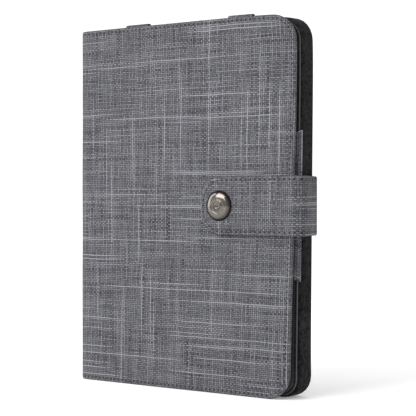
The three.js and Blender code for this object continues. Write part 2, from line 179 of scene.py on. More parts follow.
def finished_mesh(name, mesh):
    data = bpy.data.meshes.new(name)
    mesh.to_mesh(data)
    mesh.free()
    return data


cover_low, cover_high = box_of("front_cover_cloth")
spine_low = box_of("spine_cloth")[0]
back_low, back_high = box_of("back_cloth")

# The camera stands at the right of the front, just above the middle of the cover, and is aimed by
# the cover's opening edge. Its lens is lowered a little to keep the upright edges upright.
view_turn = math.radians(36.4)
edge_distance, edge_right, eye_height = 723 * MM, 46 * MM, 108.5 * MM
forward = Vector((-math.sin(view_turn), math.cos(view_turn), 0))
rightward = Vector((math.cos(view_turn), math.sin(view_turn), 0))
camera_data = bpy.data.cameras.new("camera")
camera_data.sensor_width = 36
camera_data.lens = 116.4
camera_data.shift_y = -0.0205
camera = put("camera", camera_data)
opening_edge = Vector((cover_high.x, cover_low.y, 0))
camera.location = opening_edge - forward * edge_distance - rightward * edge_right
camera.location.z = eye_height
camera.rotation_euler = forward.to_track_quat("-Z", "Y").to_euler()
bpy.context.scene.camera = camera


def build_backdrop():
    near, wall, rise, bend, half_width = -3.0, 2.6, 4.0, 1.2, 4.0
    section = [(near, 0.0), (wall - bend, 0.0)]
    for angle in np.linspace(0, math.pi / 2, 17)[1:]:
        section.append((wall - bend + bend * math.sin(angle), bend - bend * math.cos(angle)))
    section.append((wall, rise))
    mesh = bmesh.new()
    left, right = [], []
    for far, up in section:
        for edge, side in ((left, -half_width), (right, half_width)):
            edge.append(mesh.verts.new(forward * far + rightward * side + Vector((0, 0, up))))
    for low in range(len(section) - 1):
        mesh.faces.new((left[low], right[low], right[low + 1], left[low + 1]))
    data = finished_mesh("backdrop", mesh)
    data.shade_smooth()
    paper = bpy.data.materials.new("backdrop_paper")
    paper.use_nodes = True
    sockets = paper.node_tree.nodes["Principled BSDF"].inputs
    sockets["Base Color"].default_value = (0.93, 0.93, 0.93, 1)
    sockets["Roughness"].default_value = 0.9
    sockets["Emission Color"].default_value = (1, 1, 1, 1)
    sockets["Emission Strength"].default_value = 0.18
    data.materials.append(paper)
    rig.stage(put("backdrop", data))


def soft_box(name, place, width, height, power):
    light = bpy.data.lights.new(name, "AREA")
    light.shape = "RECTANGLE"
    light.size = width
    light.size_y = height
    light.energy = power
    lamp = put(name, light)
    lamp.location = place
    toward_case = Vector((0, 0, 0.1)) - Vector(place)
    lamp.rotation_euler = toward_case.to_track_quat("-Z", "Y").to_euler()


build_backdrop()
soft_box("key_light", (-0.6, -1.6, 1.2), 1.4, 1.2, 34)
soft_box("left_light", (-1.6, -0.6, 0.7), 1.0, 1.4, 14)
soft_box("right_light", (1.5, 0.9, 0.9), 0.6, 1.2, 5)
world = bpy.data.worlds.new("studio")
world.use_nodes = True
surround = world.node_tree.nodes["Background"].inputs
surround["Color"].default_value = (1, 1, 1, 1)
surround["Strength"].default_value = 0.66
bpy.context.scene.world = world
bpy.context.scene.view_settings.view_transform = "Standard"


# ---- Cover cloth, front half ----
# Grey melange cross-hatch cloth glued over the front board, turned in round its three free edges
# and carried round the front fold to the middle of the spine, where the back half takes over.
width = cover_high.x - spine_low.x
height = cover_high.z
cover_thick = cover_high.y - cover_low.y
spine_round = 4.5 * MM
cloth_thick = 0.7 * MM
free_corner = 12.5 * MM
cover_corner = 14.5 * MM
hem = 3.2 * MM


class Route:
    """A line in plan of straight runs with rounded bends. Its inside is on the right of its travel."""

    def __init__(self, corners, radii):
        points = [Vector(corner) for corner in corners]
        self.runs = []
        start = points[0]
        for here, after, radius in zip(points[1:-1], points[2:], radii):
            arrive = (here - start).normalized()
            leave = (after - here).normalized()
            turn = arrive.angle_signed(leave)
            cut = radius * math.tan(abs(turn) / 2)
            bend_start = here - arrive * cut
            self.runs.append((start, arrive, (bend_start - start).length, 0.0))
            self.runs.append((bend_start, arrive, radius * abs(turn), math.copysign(1 / radius, turn)))
            start = here + leave * cut
        last = points[-1] - start
        self.runs.append((start, last.normalized(), last.length, 0.0))
        self.length = sum(run[2] for run in self.runs)

    def middle(self, number):
        """The distance along the route to the middle of run number; odd runs are the bends."""
        return sum(run[2] for run in self.runs[:number]) + self.runs[number][2] / 2

    def place(self, along, inside):
        """The plan point at a distance along the route and a depth on its inner side."""
        for number, (start, heading, length, curve) in enumerate(self.runs):
            if along <= length or number == len(self.runs) - 1:
                break
            along -= length
        at, facing = start + heading * along, heading
        if curve:
            facing = Matrix.Rotation(-along * curve, 2) @ heading
            at = start - Vector((facing.y - heading.y, heading.x - facing.x)) / curve
        return at + Vector((facing.y, -facing.x)) * inside


def turned_edge(rim, thick, hem_width):
    """The rounded edge of a covered board, from the end of its hem to its face: (inset, depth)."""
    rings = [(hem_width, thick)] if hem_width > rim else []
    for angle in np.linspace(math.pi, 0, 7):
        rings.append((rim - rim * math.sin(angle), thick / 2 - thick / 2 * math.cos(angle)))
    return rings


def grid_lines(low, high, turn_low, turn_high, corner, rings, step):
    """The grid lines across a sheet, as (place, depth, reach past the corner's centre, side)."""
    face = rings[-1][0]
    flat_part = np.linspace(corner, face, max(2, round((corner - face) / step) + 1))
    line = [(inset, 0.0) for inset in flat_part] + rings[-2::-1]
    reach, edge = 0.0, []
    for (inset, depth), (next_inset, next_depth) in zip(line, line[1:]):
        reach += math.hypot(next_inset - inset, next_depth - depth)
        edge.append((next_inset, next_depth, reach))
    start = low + corner if turn_low else low
    end = high - corner if turn_high else high
    count = max(2, round((end - start) / step) + 1)
    lines = [(place, 0.0, 0.0, 0) for place in np.linspace(start, end, count)]
    if turn_low:
        lines = [(low + inset, depth, far, -1) for inset, depth, far in reversed(edge)] + lines
    if turn_high:
        lines += [(high - inset, depth, far, 1) for inset, depth, far in edge]
    return lines


def cloth_grid(u_span, v_span, turned, corner, rings, step):
    """Rows of (u, v, depth, flat u, flat v) for a sheet with turned edges and round corners.

    turned says which edges turn: low u, high u, low v, high v."""
    (u_low, u_high), (v_low, v_high) = u_span, v_span
    columns = grid_lines(u_low, u_high, turned[0], turned[1], corner, rings, step)
    rows = []
    for v, v_depth, v_reach, v_side in grid_lines(v_low, v_high, turned[2], turned[3], corner, rings, step):
        v_centre = v_high - corner if v_side > 0 else v_low + corner
        row = []
        for u, u_depth, u_reach, u_side in columns:
            u_centre = u_high - corner if u_side > 0 else u_low + corner
            if u_side and v_side:
                u_leads = u_reach >= v_reach
                reach = max(u_reach, v_reach)
                turn = min(u_reach, v_reach) / reach * math.pi / 4
                part = (math.cos(turn), math.sin(turn)) if u_leads else (math.sin(turn), math.cos(turn))
                radius = abs(u - u_centre) if u_leads else abs(v - v_centre)
                part_u, part_v = u_side * part[0], v_side * part[1]
                flat_spot = (u_centre + reach * part_u, v_centre + reach * part_v)
                depth = u_depth if u_leads else v_depth
                row.append((u_centre + radius * part_u, v_centre + radius * part_v, depth, *flat_spot))
            else:
                flat_u = u_centre + u_side * u_reach if u_side else u
                flat_v = v_centre + v_side * v_reach if v_side else v
                row.append((u, v, max(u_depth, v_depth), flat_u, flat_v))
        rows.append(row)
    return rows


def drape(rows, place, outward=True):
    """A mesh of one grid put in place; its "cloth" map holds the unrolled cloth in metres."""
    mesh = bmesh.new()
    cloth_map = mesh.loops.layers.uv.new("cloth")
    verts = [[mesh.verts.new(place(*point[:3])) for point in row] for row in rows]
    for j in range(len(rows) - 1):
        for i in range(len(rows[0]) - 1):
            corners = [(j, i), (j, i + 1), (j + 1, i + 1), (j + 1, i)]
            if outward:
                corners.reverse()
            face = mesh.faces.new([verts[b][a] for b, a in corners])
            for loop, (b, a) in zip(face.loops, corners):
                loop[cloth_map].uv = rows[b][a][3:]
    return mesh


def bake_modifiers(piece):
    solved = piece.evaluated_get(bpy.context.evaluated_depsgraph_get())
    piece.data = bpy.data.meshes.new_from_object(solved)
    piece.modifiers.clear()


def add_piece(name, mesh, material, thickness=0.0):
    """An object made from a bmesh, given a cloth's thickness behind its face."""
    piece = put(name, finished_mesh(name, mesh))
    if thickness:
        shell = piece.modifiers.new("thickness", "SOLIDIFY")
        shell.thickness = thickness
        shell.offset = -1
        bake_modifiers(piece)
    piece.data.shade_smooth()
    piece.data.materials.append(material)
    return piece


def sheet(name, spans, turned, corner, rings, place, material, thickness=0.0, step=2.5 * MM, outward=True):
    """A piece of sheet over its (u, v) spans, with its edges turned as rings say, put by place."""
    rows = cloth_grid(*spans, turned, corner, rings, step)
    return add_piece(name, drape(rows, place, outward), material, thickness)


def bend_from(start, end):
    """Where a bend starts and ends, from two plan points."""
    return {"start": (*start, 0), "end": (*end, 0)}


def bend_piece(piece, bodies, bend, slot, *nodes):
    """The piece bends between two bodies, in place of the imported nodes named."""
    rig.blend(piece, *bodies, **bend)
    if nodes:
        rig.replaces(piece, *nodes)
    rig.slot(piece, slot)


def ride_piece(piece, body, slot, *nodes, crisp=50):
    """The piece moves with one body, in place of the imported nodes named; edges past crisp degrees show."""
    if crisp:
        piece.data.set_sharp_from_angle(angle=math.radians(crisp))
    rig.ride(piece, body)
    if nodes:
        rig.replaces(piece, *nodes)
    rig.slot(piece, slot)


class Sock:
    """A socket in a material's nodes. Sums on it add Math nodes, and node() adds any other."""

    def __init__(self, tree, socket=None):
        self.tree, self.socket = tree, socket

    def node(self, kind, settings=None, sockets=None, output=0):
        made = self.tree.nodes.new("ShaderNode" + kind)
        for name, value in (settings or {}).items():
            setattr(made, name, value)
        for name, value in (sockets or {}).items():
            if isinstance(value, Sock):
                self.tree.links.new(value.socket, made.inputs[name])
            else:
                made.inputs[name].default_value = value
        return Sock(self.tree, made.outputs[output])

    def math(self, operation, *others):
        return self.node("Math", {"operation": operation}, dict(enumerate((self, *others))))

    def smooth(self, low, high):
        return self.node("MapRange", {"interpolation_type": "SMOOTHSTEP"}, {0: self, 1: low, 2: high})

    def clamp(self):
        return self.node("Clamp", None, {0: self})

    def axis(self, number):
        return self.node("SeparateXYZ", None, {0: self}, number)

    def grain(self, scale, detail=2.0, rough=0.5, dimensions="3D"):
        """Noise at this place."""
        sockets = {"Vector": self, "Scale": scale, "Detail": detail, "Roughness": rough}
        return self.node("TexNoise", {"noise_dimensions": dimensions}, sockets)

    def bump(self, strength, distance):
        return self.node("Bump", None, {"Strength": strength, "Distance": distance, "Height": self})

    def __add__(self, other):
        return self.math("ADD", other)

    def __sub__(self, other):
        return self.math("SUBTRACT", other)

    def __mul__(self, other):
        return self.math("MULTIPLY", other)

    def __mod__(self, other):
        return self.math("FLOORED_MODULO", other)

    def __rsub__(self, other):
        return (self * -1.0) + other

    __radd__ = __add__
    __rmul__ = __mul__


def new_material(name, on_cloth=False, **constants):
    """A material, its Principled shader, and the place that its nodes start from.

    The place is on the unrolled cloth, or in the space round the piece."""
    made = bpy.data.materials.new(name)
    made.use_nodes = True
    shader = made.node_tree.nodes["Principled BSDF"]
    for socket, value in constants.items():
        shader.inputs[socket.replace("_", " ")].default_value = value
    start = Sock(made.node_tree)
    place = start.node("UVMap", {"uv_map": "cloth"}) if on_cloth else start.node("TexCoord", output=3)
    return made, shader, place


def paint(shader, **links):
    for socket, value in links.items():
        value.tree.links.new(value.socket, shader.inputs[socket.replace("_", " ")])


def blend_colours(share, dark, pale):
    return share.node("Mix", {"data_type": "RGBA"}, {0: share, 6: (*dark, 1), 7: (*pale, 1)}, 2)


def woven_cloth():
    """Plain weave of uneven yarns: each has its own tone, and here and there a pale slub."""
    warp_pitch, weft_pitch = 1.32 * MM, 1.06 * MM
    made, shader, flat = new_material("melange_cloth", True, Specular_IOR_Level=0.15)
    u, v = flat.axis(0), flat.axis(1)
    drift = flat.grain(60.0, dimensions="2D")
    warp_line = u * (1 / warp_pitch) + drift * 0.9
    weft_line = v * (1 / weft_pitch) + drift * -0.8
    warp, weft = warp_line.math("FLOOR"), weft_line.math("FLOOR")
    warp_across, weft_across = warp_line.math("FRACT"), weft_line.math("FRACT")

    def along_yarn(yarn, seed, along, scale, detail):
        spot = yarn.node("CombineXYZ", None, {"X": yarn * 7.313 + seed, "Y": along * scale})
        return spot.grain(1.0, detail, dimensions="2D")

    def yarn_tone(yarn, seed, along, slub_low):
        slub = along_yarn(yarn, seed, along, 10.0, 0.0).smooth(slub_low, slub_low + 0.14)
        grain = along_yarn(yarn, seed + 31.7, along, 900.0, 2.0)
        body = along_yarn(yarn, seed + 87.1, along, 26.0, 1.0)
        return grain * 0.75 + body * 1.0 + -0.42, slub

    warp_tone, warp_slub = yarn_tone(warp, 3.1, v, 0.71)
    weft_tone, weft_slub = yarn_tone(weft, 57.9, u, 0.66)
    over = (warp + weft) % 2.0
    warp_crown = (warp_across * math.pi).math("SINE")
    weft_crown = (weft_across * math.pi).math("SINE")
    # a slub is thick enough to show where it passes under, too
    warp_lift = warp_crown * (over * 0.55 + warp_slub * 0.45 + 0.35)
    weft_lift = weft_crown * ((1 - over) * 0.55 + weft_slub * 0.5 + 0.4)
    on_top = ((warp_lift - weft_lift) * 6.0 + 0.5).clamp()
    surface = warp_lift.math("MAXIMUM", weft_lift)
    warp_level = warp_tone + warp_slub * warp_crown * warp_crown * 0.75
    weft_level = weft_tone + weft_slub * weft_crown * weft_crown * 0.85
    yarn_level = weft_level + on_top * (warp_level - weft_level)
    # painted shade: the colour darkens from each yarn's crown down into the hollows between yarns
    level = (yarn_level * (surface * surface * 1.5 + 0.1)).clamp()
    colour = blend_colours(level, (0.018, 0.018, 0.021), (0.235, 0.236, 0.255))
    paint(shader, Base_Color=colour, Normal=surface.bump(0.6, 0.4 * MM), Roughness=level * -0.1 + 0.95)
    return made


cover_cloth = woven_cloth()
case_route = Route(
    [
        (cover_high.x, cover_low.y),
        (spine_low.x, cover_low.y),
        (spine_low.x, back_high.y),
        (back_high.x, back_high.y),
    ],
    [spine_round, spine_round],
)
mid_spine = case_route.middle(2)
cover_edge = turned_edge(1.4 * MM, cover_thick, hem)
front_bend = bend_from((spine_low.x + 9 * MM, cover_low.y), (spine_low.x, cover_low.y + 9 * MM))


def settle(point, draw_in=0.8, skew=1.7, lean=(1.5, -0.9), power=1):
    """Where a point comes to rest, as the soft case stands a little out of true.

    Toward the opening edge it draws in and skews, and it leans back at the top by the sum of lean
    and forward at the foot by the difference, in millimetres. The free corners slump and spread."""
    corner_power = 9
    out = max(0.0, (point.x - spine_low.x) / width) ** power
    up = point.z / height * 2 - 1
    slump = max(0.0, out * up) ** corner_power * MM
    spread = max(0.0, -out * up) ** corner_power * MM
    shift_x = out * (skew * up - draw_in) * MM - slump * 1.4 + spread * 0.9
    shift_y = out * up * (lean[0] + lean[1] * up) * MM
    return point + Vector((shift_x, shift_y, -1.6 * slump))


def case_point(u, v, depth):
    plan = case_route.place(u, depth)
    return Vector((plan.x, plan.y, v))


def front_point(u, v, depth):
    ripple_rate, ripple_rise = 28, 0.25 * MM
    point = case_point(u, v, depth)
    ripple = noise.noise(point * ripple_rate) * ripple_rise
    return settle(point) + Vector((0, ripple, 0))


front_cloth = sheet(
    "front_cloth",
    ((0, mid_spine), (0, height)),
    (True, False, True, True),
    cover_corner,
    cover_edge,
    front_point,
    cover_cloth,
    cloth_thick,
)
bend_piece(front_cloth, ("front_cover", "spine"), front_bend, "cover_cloth", "front_cover_cloth")


# ---- Cover cloth, back half ----
# The same cloth from the middle of the spine round the back fold and over the back board, where
# it narrows to sit in the tray's back. Its edges are glued down.
back_thinness = 0.24
back_bend = bend_from((spine_low.x, back_high.y - 9 * MM), (spine_low.x + 9 * MM, back_high.y))
back_fold_end = case_route.middle(3) + case_route.runs[3][2] / 2


def ease(value, low, high):
    share = min(1.0, max(0.0, (value - low) / (high - low)))
    return share * share * (3 - 2 * share)


def back_point(u, v, depth):
    """The back half's place: past the fold it narrows to the back board's height."""
    onto_back = ease(u, case_route.middle(3), back_fold_end + 6 * MM)
    narrowed = back_low.z + v / height * (back_high.z - back_low.z)
    return case_point(u, v + (narrowed - v) * onto_back, depth * (1 + (back_thinness - 1) * onto_back))


back_cloth = sheet(
    "back_cloth_skin",
    ((mid_spine, case_route.length), (0, height)),
    (False, True, True, True),
    free_corner - 2.5 * MM,
    cover_edge,
    back_point,
    cover_cloth,
    0.35 * MM,
)
bend_piece(back_cloth, ("spine", "back_cover"), back_bend, "cover_cloth", "back_cloth", "spine_cloth")


# ---- Edge stitching ----
# Polyester thread sewn through cloth and board 2 mm inside the free edges. Each stitch sinks into
# its needle holes, drawn as a row of flat dark dots 3 mm apart: painted shade in the holes.
stitch_inset = 2.1 * MM
stitch_rises = ((0.14, -0.25), (0.3, 0.05), (0.5, 0.12), (0.7, 0.05), (0.86, -0.25))  # share, mm
stitch_pitch = 3.0 * MM
thread_radius = 0.24 * MM


def grained_material(name, dark, pale, scale, rough, detail=2.0, uneven=0.0, bump=None, **constants):
    """Specks of two tones, rougher where they are pale by uneven, and raised by bump."""
    made, shader, place = new_material(name, Roughness=rough, **constants)
    grain = place.grain(scale, detail)
    paint(shader, Base_Color=blend_colours(grain, dark, pale))
    if uneven:
        paint(shader, Roughness=grain * uneven + rough)
    if bump:
        paint(shader, Normal=grain.bump(*bump))
    return made


thread = grained_material("sewing_thread", (0.03, 0.03, 0.033), (0.16, 0.16, 0.17), 2500.0, 0.7)
# painted shade: near-black dots stand in for the shadow inside the needle holes
needle_hole = grained_material("needle_hole", (0.004, 0.004, 0.004), (0.02, 0.02, 0.022), 900.0, 1.0)


def edge_line(far, near, v_low, v_high, inset, corner):
    """The line of a seam inside a sheet's edge: in along the foot, round the end, out along the top."""
    toward = 1 if near > far else -1
    radius = corner - inset
    points = [(far, v_low + inset)]
    for first, v_centre in ((-math.pi / 2, v_low + corner), (0, v_high - corner)):
        for angle in np.linspace(first, first + math.pi / 2, 9):
            u = near - toward * (corner - radius * math.cos(angle))
            points.append((u, v_centre + radius * math.sin(angle)))
    points.append((far, v_high - inset))
    return points


def even_marks(line, pitch):
    line = np.array(line)
    run = np.concatenate([[0], np.cumsum(np.linalg.norm(np.diff(line, axis=0), axis=1))])
    marks = np.linspace(0, run[-1], round(run[-1] / pitch) + 1)
    return np.stack([np.interp(marks, run, line[:, axis]) for axis in (0, 1)], axis=1)


def bridge(mesh, rings):
    """Faces between each ring of vertices and the next."""
    for ring_a, ring_b in zip(rings, rings[1:]):
        for k in range(len(ring_a)):
            mesh.faces.new((ring_a[k - 1], ring_a[k], ring_b[k], ring_b[k - 1]))


def face_out(mesh):
    bmesh.ops.recalc_face_normals(mesh, faces=mesh.faces)


def sew(name, line, place, pitch=stitch_pitch):
    """Stitches, and dots of painted shade at their needle holes, along a line of (u, v) points: two pieces."""
    hole_long, hole_wide = 0.75 * MM, 0.48 * MM
    marks = even_marks(line, pitch)
    threads, holes = bmesh.new(), bmesh.new()
    for here, after in zip(marks, marks[1:]):
        step = after - here
        side = np.array((-step[1], step[0])) / np.linalg.norm(step) * thread_radius
        rings = []
        for share, rise in stitch_rises:
            middle = here + step * share
            ring = []
            for angle in np.linspace(0, 2 * math.pi, 6, endpoint=False):
                u, v = middle + side * math.cos(angle)
                ring.append(threads.verts.new(place(u, v, -rise * MM - thread_radius * math.sin(angle))))
            rings.append(ring)
        bridge(threads, rings)
    direction = np.gradient(marks, axis=0)
    for mark, along in zip(marks, direction / np.linalg.norm(direction, axis=1)[:, None]):
        side = np.array((-along[1], along[0]))
        rim = []
        for angle in np.linspace(0, 2 * math.pi, 8, endpoint=False):
            u, v = mark + along * hole_long * math.cos(angle) + side * hole_wide * math.sin(angle)
            rim.append(holes.verts.new(place(u, v, -0.05 * MM)))
        holes.faces.new(rim)
    face_out(threads)
    sewn = add_piece(name + "_thread", threads, thread)
    return sewn, add_piece(name + "_needle_holes", holes, needle_hole)


cover_seam = edge_line(case_route.middle(1) - 4 * MM, 0, 0, height, stitch_inset, cover_corner)
for piece in sew("cover_seam", cover_seam, front_point):
    bend_piece(piece, ("front_cover", "spine"), front_bend, "cover_cloth")


# ---- Boards ----
# Binder's board stiffens the front cover, the spine and the back. The front one follows the
# cover's slight lean, and the other two stay as they are made.
board = grained_material(
    "binders_board", (0.16, 0.12, 0.08), (0.34, 0.27, 0.19), 700.0, 0.9, 4.0, bump=(0.3, 0.2 * MM)
)
board_low, board_high = box_of("front_cover_board")
board_thick = board_high.y - board_low.y
board_depth = board_low.y - cover_low.y
front_board = sheet(
    "front_board",
    ((cover_high.x - board_high.x, cover_high.x - board_low.x), (board_low.z, board_high.z)),
    (True, True, True, True),
    cover_corner - 1 * MM,
    turned_edge(0.3 * MM, board_thick, cover_corner - 1.2 * MM),
    lambda u, v, depth: settle(case_point(u, v, board_depth + depth)),
    board,
)
ride_piece(front_board, "front_cover", "binders_board", "front_cover_board", crisp=None)


def cover_with(material, *nodes):
    """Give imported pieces, which stay as they are, their material."""
    for node in nodes:
        frame["nodes"][node].data.materials.clear()
        frame["nodes"][node].data.materials.append(material)


cover_with(board, "spine_board", "back_board")


# ---- Suede lining ----
# Thin black microsuede lines the inside of the cover and the spine, glued over the cloth's hems
# and carried through both folds. It is cut at the middle of the spine as the cloth is.
def suede_material(name, on_cloth=False, sheen=0.03):
    """Microsuede: short fibres that lie this way and that, in patches and in specks."""
    dull = {"Sheen_Weight": sheen, "Sheen_Roughness": 0.3, "Specular_IOR_Level": 0.06}
    made, shader, spot = new_material(name, on_cloth, **dull)
    patches = spot.grain(90.0, 3.0)
    fibres = spot.grain(520.0, 4.0, 0.75)
    level = (patches * 0.8 + fibres * 2.6 + -1.2).clamp()
    paint(
        shader,
        Base_Color=blend_colours(level, (0.001, 0.001, 0.0011), (0.03, 0.03, 0.033)),
        Roughness=level * 0.1 + 0.88,
        Normal=fibres.bump(0.6, 0.3 * MM),
    )
    return made


lining_suede = suede_material("lining_suede", True)
lining_thick = 0.5 * MM
lining_inset = 3.0 * MM
lining_face = cover_thick + 0.12 * MM
lining_edge = turned_edge(0.25 * MM, lining_thick, 0)
lining_rise = (lining_inset, height - lining_inset)
front_lining = sheet(
    "front_lining",
    ((lining_inset, mid_spine), lining_rise),
    (True, False, True, True),
    cover_corner - lining_inset,
    lining_edge,
    lambda u, v, depth: front_point(u, v, lining_face - depth),
    lining_suede,
    outward=False,
)
lined_nodes = ("front_cover_lining", "spine_lining")
bend_piece(front_lining, ("front_cover", "spine"), front_bend, "suede", *lined_nodes)

tray_low, tray_high = box_of("keyboard_tray")
lining_end = case_route.length - (back_high.x - tray_low.x) + 0.4 * MM


def back_lining_point(u, v, depth):
    """It thins out to slip under the tray's spine wall, on top of the back board."""
    under_tray = ease(u, case_route.middle(3) - 2 * MM, lining_end - 1 * MM)
    return case_point(u, v, lining_face - 0.75 * MM * under_tray - depth)


back_lining = sheet(
    "back_lining",
    ((mid_spine, lining_end), lining_rise),
    (False, False, True, True),
    2 * MM,
    lining_edge,
    back_lining_point,
    lining_suede,
    step=1.2 * MM,
    outward=False,
)
bend_piece(back_lining, ("spine", "back_cover"), back_bend, "suede")


# ---- Strap ----
# A 32.5 mm tab of the cover cloth, doubled with its edges turned in and topstitched, sewn to the
# back and brought round the opening edge to the front. It bends at a soft fold behind and one in
# front, and is made in two lengths that meet in the middle of its side.
flap_low, flap_high = box_of("strap_flap")
anchor_low = box_of("strap_anchor")[0]
fold_places = {joint["name"]: Vector(joint["pos_m"]) for joint in frame["joints"] if "pos_m" in joint}
back_fold, front_fold = fold_places["strap_back_fold"], fold_places["strap_front_fold"]
strap_thick = flap_high.y - flap_low.y
strap_hem = 4.0 * MM
tip_radius = 14 * MM
strap_edge = turned_edge(0.9 * MM, strap_thick, strap_hem)
under_face = strap_thick + 0.15 * MM
strap_route = Route(
    [
        (anchor_low.x, back_fold.y),
        (back_fold.x, back_fold.y),
        (front_fold.x, front_fold.y),
        (flap_low.x, front_fold.y),
    ],
    [2.6 * MM, 3.6 * MM],
)
mid_side = strap_route.middle(2)
strap_back_bend = bend_from(
    (back_fold.x - 3.5 * MM, back_fold.y),
    (back_fold.x + 2 * MM, back_fold.y - 4.5 * MM),
)
strap_front_bend = bend_from(
    (front_fold.x - 0.5 * MM, front_fold.y + 5.5 * MM),
    (front_fold.x - 6 * MM, front_fold.y),
)


def strap_point(u, v, depth):
    swell_rate, swell_rise, swell_seed = 35, 0.2 * MM, 4.2
    plan = strap_route.place(u, depth - strap_thick / 2)
    swell = noise.noise(Vector((u * swell_rate, v * swell_rate, swell_seed))) * swell_rise
    return Vector((plan.x, plan.y + swell, v))


back_pair, front_pair = ("back_cover", "strap_wrap"), ("strap_wrap", "strap_front")
back_span, front_span = (0, mid_side), (mid_side, strap_route.length)
strap_parts = (
    ("strap_back", back_span, (True, False, True, True), 4.6 * MM, back_pair, strap_back_bend),
    ("strap_front", front_span, (False, True, True, True), tip_radius, front_pair, strap_front_bend),
)
lining_step = 1.6 * MM
cut_from = (0.4, 0.013)  # the strap's place on the bolt of cloth, so that its slubs are its own
for name, span, turned, corner, bodies, bend in strap_parts:
    low_end, high_end = turned[:2]
    rows = cloth_grid(span, (flap_low.z, flap_high.z), turned, corner, strap_edge, lining_step)
    for row in rows:
        row[:] = [(*point[:3], cut_from[0] - point[3], point[4] + cut_from[1]) for point in row]
    strap = add_piece(name + "_cloth", drape(rows, strap_point), cover_cloth, 0.6 * MM)
    nodes = ("strap_flap",) if high_end else ("strap_anchor", "strap_side")
    bend_piece(strap, bodies, bend, "cover_cloth", *nodes)
    under_span = (span[0] + lining_step * low_end, span[1] - lining_step * high_end)
    under = sheet(
        name + "_lining",
        (under_span, (flap_low.z + lining_step, flap_high.z - lining_step)),
        turned,
        corner - lining_step,
        turned_edge(0.25 * MM, 0.5 * MM, 0),
        lambda u, v, depth: strap_point(u, v, under_face - depth),
        lining_suede,
        step=lining_step,
        outward=False,
    )
    bend_piece(under, bodies, bend, "suede")
    seam = edge_line(mid_side, span[1] if high_end else 0, flap_low.z, flap_high.z, 1.9 * MM, corner)
    for piece in sew(name + "_seam", seam, strap_point, 3.2 * MM):
        bend_piece(piece, bodies, bend, "cover_cloth")

# A boxed cross of stitches holds the sewn end to the back.
box_low, box_high = 5 * MM, 27 * MM
box_foot, box_top = flap_low.z + 5 * MM, flap_high.z - 5 * MM
box_line = [(box_low, box_foot), (box_high, box_foot), (box_high, box_top)]
box_line += [(box_low, box_top), (box_low, box_foot), (box_high, box_top)]
for piece in sew("strap_box_seam", box_line, strap_point):
    ride_piece(piece, "back_cover", "cover_cloth", crisp=None)


# ---- Snap ----
# A polished gunmetal press snap: a domed cap riveted through the strap to its socket, and a stud
# riveted through the cover board, closing at the middle of the height.
def metal_material(name, tint, rough, scale):
    dark = tuple(channel * 0.8 for channel in tint)
    return grained_material(name, dark, tint, scale, rough, 3.0, 0.12, Metallic=1.0)


cap_low, cap_high = box_of("snap_cap")
snap_x, snap_z = (cap_low.x + cap_high.x) / 2, (cap_low.z + cap_high.z) / 2
cap_radius = (cap_high.x - cap_low.x) / 2


def gunmetal_material(tint):
    """Polished gunmetal, with painted shade darkening it toward the rim."""
    made, shader, spot = new_material("gunmetal", Metallic=1.0)
    across, up = spot.axis(0) + -snap_x, spot.axis(2) + -snap_z
    reach = (across * across + up * up).math("SQRT") * (1 / cap_radius)
    wear = spot.grain(260.0, 3.0)
    # painted shade: the colour darkens over the outer quarter of the cap's radius, for the shadow and dark reflection
    # at its rim; the grain is wear
    level = (1 - reach.smooth(0.74, 1.0) * 0.75) * (wear * 0.4 + 0.7)
    paint(
        shader,
        Base_Color=blend_colours(level.clamp(), (0.01, 0.009, 0.009), tint),
        Roughness=wear * 0.1 + 0.08,
    )
    return made


snap_metal = gunmetal_material((0.17, 0.152, 0.14))


def filleted(points, radius, steps=4):
    """A line of points with each inner corner eased by a short curve."""
    points = [Vector(point) for point in points]
    out = [points[0]]
    for before, here, after in zip(points, points[1:], points[2:]):
        arrive, leave = before - here, after - here
        start = here + arrive.normalized() * min(radius, arrive.length * 0.45)
        end = here + leave.normalized() * min(radius, leave.length * 0.45)
        for share in np.linspace(0, 1, steps + 1):
            out.append(start * (1 - share) ** 2 + here * 2 * share * (1 - share) + end * share**2)
    return out + [points[-1]]


def turned_piece(name, profile, ease_radius, body, *nodes, material=snap_metal):
    """A turned part on the snap's axis, from the (radius, y) points of its outline."""
    mesh = bmesh.new()
    rings = []
    for radius, y in filleted(profile, ease_radius):
        ring = []
        for angle in np.linspace(0, 2 * math.pi, 72, endpoint=False):
            x, z = snap_x + radius * math.cos(angle), snap_z + radius * math.sin(angle)
            ring.append(mesh.verts.new((x, y, z)))
        rings.append(ring)
    bridge(mesh, rings)
    bmesh.ops.remove_doubles(mesh, verts=mesh.verts, dist=1e-6)
    face_out(mesh)
    ride_piece(add_piece(name, mesh, material), body, "snap_metal", *nodes, crisp=None)


def in_mm(start, points):
    """Outline points given in millimetres: a radius, and a y behind start."""
    return [(radius * MM, start + y * MM) for radius, y in points]


# the cap's face has a sunken middle and two raised rings, and slopes to its rim
cap_face = [(0, 0.55), (1.3, 0.55), (1.5, 0.15), (3.0, 0.10), (3.3, 0.55), (4.1, 0.60), (4.4, 0.28)]
cap_profile = in_mm(cap_low.y, cap_face + [(6.2, 0.65), (7.4, 1.30)])
cap_profile += [
    (cap_radius, cap_low.y + 2.0 * MM),
    (cap_radius - 0.2 * MM, cap_low.y + 2.45 * MM),
    (cap_radius - 1.2 * MM, cap_low.y + 2.5 * MM),
    (1.8 * MM, cap_low.y + 2.3 * MM),
    (1.8 * MM, cap_high.y),
    (0, cap_high.y),
]
turned_piece("snap_cap_turned", cap_profile, 0.3 * MM, "strap_front", "snap_cap")
